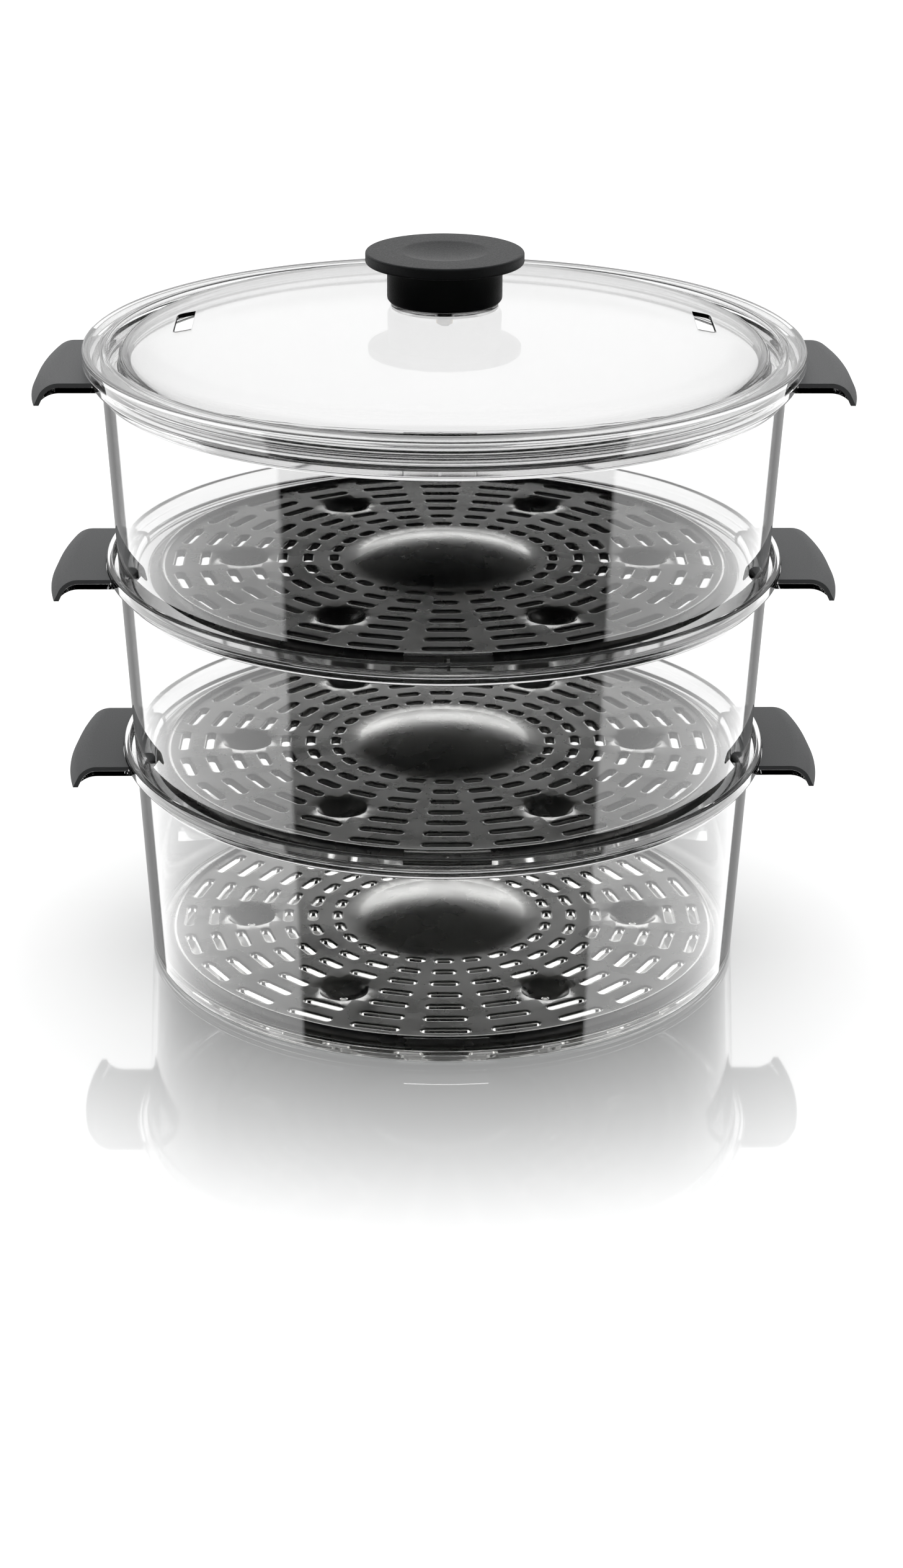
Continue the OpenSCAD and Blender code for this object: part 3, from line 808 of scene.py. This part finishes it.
CROWN_UNDER = DOME_Z + LID_DOME_H - LID_T
SCREW_HOLE_R = 2.3
WASHER_R = 7
WASHER_LAND = 1


def dome_points(radius, height, from_r, to_r, count):
    first, last = math.acos(from_r / radius), math.acos(to_r / radius)
    angles = [first + (last - first) * i / count for i in range(count + 1)]
    return [(radius * math.cos(a), DOME_Z + height * math.sin(a), 0) for a in angles]


def lid_outline():
    plug_in = PLUG_R - LID_T
    groove_out = LID_R - LID_T
    groove_top = RING_Z - LID_T
    under_r = LID_DOME_R - LID_T
    flat_r = WASHER_R + WASHER_LAND
    return (
        [(SCREW_HOLE_R, CROWN_UNDER, 0), (SCREW_HOLE_R, BOSS_Z, 0), (BOSS_R, BOSS_Z, EDGE_ROUND)]
        + dome_points(LID_DOME_R, LID_DOME_H, BOSS_R, LID_DOME_R, LID_RINGS)
        + [(LID_DOME_R, GUTTER_Z, GUTTER_ROUND), (plug_in, GUTTER_Z, GUTTER_ROUND),
           (plug_in, RING_Z, RING_ROUND), (LID_R, RING_Z, RING_ROUND),
           (LID_R, EDGE_Z, EDGE_ROUND), (groove_out, EDGE_Z, EDGE_ROUND),
           (groove_out, groove_top, GROOVE_ROUND), (PLUG_R, groove_top, GROOVE_ROUND),
           (PLUG_R, PLUG_Z, PLUG_ROUND), (plug_in, PLUG_Z, GROOVE_ROUND),
           (plug_in, GUTTER_Z - LID_T, GUTTER_ROUND), (under_r, GUTTER_Z - LID_T, GUTTER_ROUND)]
        + dome_points(under_r, LID_DOME_H - LID_T, under_r, flat_r, LID_RINGS)
        + [(flat_r, CROWN_UNDER, 0)]
    )


# %% [markdown]
# ## Steam vents
# The vents are slots at the left and right of the dome, square towards the knob and round on the
# outside. An exact boolean cuts each one out of the turned lid, and Bevel then rounds the new edges,
# because a moulded hole has no sharp edge.

# %% Steam vents and the finished lid
VENT_IN_R = 95
VENT_W = 7
VENT_L = 27
VENT_ROUND = 2.5
VENT_EDGE = 0.25
CUT_H = 30
CUT_Z = 14
NEAR = 0.1


def vent_cutter():
    bm = bmesh.new()
    bmesh.ops.create_cube(bm, size=1)
    bmesh.ops.scale(bm, verts=bm.verts, vec=(VENT_W, VENT_L, CUT_H))
    bmesh.ops.translate(bm, verts=bm.verts, vec=(VENT_IN_R + VENT_W / 2, 0, DOME_Z + CUT_Z))
    corners = [e for e in bm.edges if abs(e.verts[0].co.z - e.verts[1].co.z) > 1
               and e.verts[0].co.x > VENT_IN_R + 1]
    round_edges(bm, corners, VENT_ROUND, segments=6)
    return bm


def make_lid():
    bm = lathe(lid_outline())
    for side in (0, math.pi):
        bm = combine(bm, turned(vent_cutter(), side), "DIFFERENCE")
    tidy(bm)
    rims = [e for e in bm.edges if len(e.link_faces) == 2 and e.calc_face_angle() > CREASE
            and all(abs(v.co.y) < VENT_L / 2 + NEAR and abs(v.co.x) > VENT_IN_R - NEAR
                    and abs(v.co.x) < VENT_IN_R + VENT_W + NEAR for v in e.verts)]
    round_edges(bm, rims, VENT_EDGE, segments=2)
    bmesh.ops.translate(bm, verts=bm.verts, vec=(0, 0, LID_Z))
    return finish_piece("clear_lid", bm, "lid", CLEAR, "lid")


make_lid()

# %% [markdown]
# ## The knob
# The knob is a black mushroom: a hollow neck with a rounded foot, and a flat disc with a shallow dish
# for a fingertip. Its edges are soft, because a moulding wears there first. It hides from mirrors,
# because the picture shows no image of it in the lid.

# %% Knob outline
KNOB_Z = LID_Z + BOSS_Z
NECK_R = 21.8
NECK_H = 14.6
NECK_WALL = 3.4
DISC_R = 30
DISC_T = 4.4
DISH_R = 17
DISH_DEPTH = 1.8
CORE_R = 6.5
INSERT_R = 3.2
INSERT_BORE = 10
ROOF_T = 1
CORE_ROUND = 0.3
HOLLOW_ROUND = 0.5
MOUTH_ROUND = 0.4
NECK_ROUND = 1.8
JOIN_ROUND = 0.6
DISC_ROUND = 0.9
DISH_RINGS = 14
KNOB_STEPS = 128


def knob_outline():
    top = NECK_H + DISC_T
    roof = NECK_H - ROOF_T
    dish = [(r, top - z, 0) for r, z in cap_points(DISH_R, DISH_DEPTH, DISH_RINGS)]
    return (
        [(INSERT_R, INSERT_BORE, 0), (INSERT_R, 0, 0), (CORE_R, 0, CORE_ROUND),
         (CORE_R, roof, HOLLOW_ROUND), (NECK_R - NECK_WALL, roof, HOLLOW_ROUND),
         (NECK_R - NECK_WALL, 0, MOUTH_ROUND), (NECK_R, 0, NECK_ROUND),
         (NECK_R, NECK_H, JOIN_ROUND), (DISC_R, NECK_H, DISC_ROUND), (DISC_R, top, DISC_ROUND)]
        + dish
        + [(0, INSERT_BORE, 0)]
    )


def make_knob():
    bm = lathe(knob_outline(), steps=KNOB_STEPS)
    bmesh.ops.translate(bm, verts=bm.verts, vec=(0, 0, KNOB_Z))
    return finish_piece("mushroom_knob", bm, "lid", BLACK, "knob")


knob = make_knob()
knob.visible_glossy = False

# %% [markdown]
# ## Small fixings
# The brass insert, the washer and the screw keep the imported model's own meshes, which are right as
# they are. Only their material is new: turned brass, whose tool marks blur what it mirrors, and plain
# stainless, which is cooler and a little sharper.

# %% Materials of the fixings
def plain_metal(name, colour, roughness):
    material, tree, output = new_material(name)
    metal = add_node(tree, "ShaderNodeBsdfPrincipled", {
        "Base Color": linear(colour), "Metallic": 1, "Roughness": roughness,
    })
    tree.links.new(metal.outputs[0], output.inputs["Surface"])
    return material


BRASS = plain_metal("turned_brass", "c9a95e", 0.3)
PLATED = plain_metal("plain_stainless_fixing", "c4c4c3", 0.25)

for name, material in (("knob_insert", BRASS), ("knob_washer", PLATED), ("knob_screw", PLATED)):
    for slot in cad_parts[name].material_slots:
        slot.material = material

# %% [markdown]
# ## Floor
# The floor is a plain white table under a gloss film. It mirrors what stands on it, and the mirror
# image fades a hand's breadth away from the foot. So a white diffuse floor is mixed with a glossy one,
# and the share of gloss falls with the distance from the object's axis. The clear walls should reflect
# the dark and bright sides of the studio and not the floor, so the floor hides from glossy rays. It also
# carries painted shade: to a path that has met a mirror and then passes a clear wall, as from the steel,
# the white floor is painted dark grey, so that the steel mirrors darkness there.

# %% Floor
FLOOR_R = 8
GLOSS_FROM_R = 0.118
GLOSS_TO_R = 0.3
GLOSS_SHARE = 0.5
FLOOR_DROP = 0.0002  # metres, so that floor and foot don't share a plane


def floor_material():
    material, tree, output = new_material("white_gloss_laminate")
    place = add_node(tree, "ShaderNodeTexCoord").outputs["Object"]
    distance = add_node(tree, "ShaderNodeVectorMath", {0: place}, operation="LENGTH")
    share = add_node(tree, "ShaderNodeMapRange", {
        "Value": distance.outputs["Value"], "From Min": GLOSS_FROM_R, "From Max": GLOSS_TO_R,
        "To Min": GLOSS_SHARE, "To Max": 0,
    }, interpolation_type="SMOOTHSTEP")
    white = add_node(tree, "ShaderNodeBsdfDiffuse", {"Color": linear("f4f4f4")})
    gloss = add_node(tree, "ShaderNodeBsdfGlossy", {"Color": linear("ffffff"), "Roughness": 0.04})
    top = add_node(tree, "ShaderNodeMixShader", {
        0: share.outputs[0], 1: white.outputs[0], 2: gloss.outputs[0],
    })
    path = add_node(tree, "ShaderNodeLightPath").outputs
    # Painted shade: for a path that has met a mirror, the white floor is painted dark grey.
    mirrored = add_node(tree, "ShaderNodeMath", {0: path["Glossy Depth"], 1: 0.5}, operation="GREATER_THAN")
    dark = add_node(tree, "ShaderNodeBsdfDiffuse", {"Color": linear("202020")})
    mix = add_node(tree, "ShaderNodeMixShader", {
        0: mirrored.outputs[0], 1: top.outputs[0], 2: dark.outputs[0],
    })
    tree.links.new(mix.outputs[0], output.inputs["Surface"])
    return material


floor_bm = bmesh.new()
bmesh.ops.create_circle(floor_bm, cap_ends=True, segments=96, radius=FLOOR_R)
floor_mesh = bpy.data.meshes.new("floor")
floor_bm.to_mesh(floor_mesh)
floor_bm.free()
floor_mesh.materials.append(floor_material())
floor = bpy.data.objects.new("floor", floor_mesh)
floor.location.z = -FLOOR_DROP
floor.visible_glossy = False
bpy.context.scene.collection.objects.link(floor)

# %% [markdown]
# ## Studio
# The world is the studio seen in reflections. In front, a black flag faces the object and a bright
# softbox stands on either side of it: the flag's edges draw the two upright lines on the front walls.
# Behind, a pale sweep is mirrored by the lid, with a dim floor below it that greys the walls' outer
# edges. Directions are read from the world's own vector, so the edges of each light are given as angles
# round the object. The steel inside should stay dark, so the sweep is left out for light that has
# passed more than one clear wall.

# %% World
BEHIND = 240  # past 180 degrees, so a band of azimuth that reaches it has no second edge
SWEEP_TOP = 76
SWEEP_FROM = 118
SWEEP_SOFT = 25
SWEEP_TOP_SOFT = 4
FLAG_HALF = 58
SOFTBOX_OUT = 145
SOFTBOX_LOW = -46
SOFTBOX_HIGH = -12
DUSK_LOW = -80
EDGE_SOFT = 1
END_SOFT = 2
SOFTBOX_LIGHT = 3.5
SWEEP_LIGHT = 0.95
DUSK_LIGHT = 0.5
OUTSIDE_DEPTH = 2.5


def studio_world():
    world = bpy.data.worlds.new("studio")
    world.use_nodes = True
    tree = world.node_tree
    tree.nodes.clear()
    way = add_node(tree, "ShaderNodeTexCoord").outputs["Generated"]
    parts = add_node(tree, "ShaderNodeSeparateXYZ", {0: way}).outputs
    front = add_node(tree, "ShaderNodeMath", {0: parts["Y"], 1: -1}, operation="MULTIPLY")
    side = add_node(tree, "ShaderNodeMath", {0: parts["X"]}, operation="ABSOLUTE")
    azimuth = add_node(tree, "ShaderNodeMath", {0: side.outputs[0], 1: front.outputs[0]}, operation="ARCTAN2")
    height = add_node(tree, "ShaderNodeMath", {0: parts["Z"]}, operation="ARCSINE")

    def times(first, second):
        return add_node(tree, "ShaderNodeMath", {0: first, 1: second}, operation="MULTIPLY").outputs[0]

    def between(value, low, high, soft, level):
        """A band of light between two angles in degrees, with soft ends."""
        low, high, soft = (math.radians(a) for a in (low, high, soft))
        rise = add_node(tree, "ShaderNodeMapRange", {
            "Value": value, "From Min": low - soft, "From Max": low + soft, "To Min": 0, "To Max": level,
        })
        fall = add_node(tree, "ShaderNodeMapRange", {
            "Value": value, "From Min": high - soft, "From Max": high + soft, "To Min": 1, "To Max": 0,
        })
        return times(rise.outputs[0], fall.outputs[0])

    path = add_node(tree, "ShaderNodeLightPath").outputs
    outside = add_node(tree, "ShaderNodeMath", {0: path["Transmission Depth"], 1: OUTSIDE_DEPTH},
                       operation="LESS_THAN")
    softbox = times(between(azimuth.outputs[0], FLAG_HALF, SOFTBOX_OUT, EDGE_SOFT, SOFTBOX_LIGHT),
                    between(height.outputs[0], SOFTBOX_LOW, SOFTBOX_HIGH, END_SOFT, 1))
    sweep = times(between(azimuth.outputs[0], SWEEP_FROM, BEHIND, SWEEP_SOFT, SWEEP_LIGHT),
                  between(height.outputs[0], 0, SWEEP_TOP, SWEEP_TOP_SOFT, 1))
    dusk = times(between(azimuth.outputs[0], SOFTBOX_OUT, BEHIND, EDGE_SOFT, DUSK_LIGHT),
                 between(height.outputs[0], DUSK_LOW, 0, END_SOFT, 1))
    total = softbox
    for part in (times(sweep, outside.outputs[0]), dusk):
        total = add_node(tree, "ShaderNodeMath", {0: total, 1: part}, operation="ADD").outputs[0]
    lit = add_node(tree, "ShaderNodeBackground", {"Color": (1, 1, 1, 1), "Strength": total})
    add_node(tree, "ShaderNodeOutputWorld", {"Surface": lit.outputs[0]})
    world.cycles.sampling_method = "NONE"
    return world


bpy.context.scene.world = studio_world()

# %% [markdown]
# ## Light panel behind the trays
# A low white panel stands a metre behind the object. The rear of each tray mirrors its upper edge and
# the front of each tray mirrors the darkness above it, which shades the steel from pale to black. The
# panel must not show in the picture, so it gives light only to paths that have met a mirror inside the
# walls. A wide, soft sun from overhead lights what is matt and casts the faint shadow on the table.

# %% Panel and sun
PANEL_Y = 1.0
PANEL_X = (-0.45, 0.75)
PANEL_TOP = 0.36
PANEL_LIGHT = 1.7
SUN_LIGHT = 3.6
SUN_WIDTH = math.radians(70)


def panel_material():
    material, tree, output = new_material("light_panel")
    path = add_node(tree, "ShaderNodeLightPath").outputs
    mirrored = add_node(tree, "ShaderNodeMath", {0: path["Glossy Depth"], 1: 0.5}, operation="GREATER_THAN")
    inside = add_node(tree, "ShaderNodeMath", {0: path["Transmission Depth"], 1: OUTSIDE_DEPTH},
                      operation="GREATER_THAN")
    seen = add_node(tree, "ShaderNodeMath", {0: mirrored.outputs[0], 1: inside.outputs[0]},
                    operation="MULTIPLY")
    clear = add_node(tree, "ShaderNodeBsdfTransparent")
    light = add_node(tree, "ShaderNodeEmission", {"Color": linear("ffffff"), "Strength": PANEL_LIGHT})
    mix = add_node(tree, "ShaderNodeMixShader", {
        0: seen.outputs[0], 1: clear.outputs[0], 2: light.outputs[0],
    })
    tree.links.new(mix.outputs[0], output.inputs["Surface"])
    material.cycles.emission_sampling = "NONE"
    return material


panel_bm = bmesh.new()
panel_edge = [panel_bm.verts.new((x, PANEL_Y, z)) for x, z in
              ((PANEL_X[0], 0), (PANEL_X[1], 0), (PANEL_X[1], PANEL_TOP), (PANEL_X[0], PANEL_TOP))]
panel_bm.faces.new(panel_edge)
panel_mesh = bpy.data.meshes.new("panel")
panel_bm.to_mesh(panel_mesh)
panel_bm.free()
panel_mesh.materials.append(panel_material())
panel = bpy.data.objects.new("panel", panel_mesh)
panel.visible_camera = False
panel.visible_shadow = False
panel.visible_diffuse = False
bpy.context.scene.collection.objects.link(panel)

sun_data = bpy.data.lights.new("overhead", "SUN")
sun_data.energy = SUN_LIGHT
sun_data.angle = SUN_WIDTH
sun = bpy.data.objects.new("overhead", sun_data)
bpy.context.scene.collection.objects.link(sun)
sun.visible_glossy = False
sun.visible_transmission = False

# %% [markdown]
# ## Picture settings
# A clear stack is seen through many walls, so light may pass many surfaces before it stops. The
# Standard view keeps whites white.

# %% Light bounces and view
cycles = bpy.context.scene.cycles
cycles.max_bounces = 32
cycles.transmission_bounces = 32
cycles.transparent_max_bounces = 32
cycles.glossy_bounces = 12
cycles.use_denoising = True
bpy.context.scene.view_settings.view_transform = "Standard"
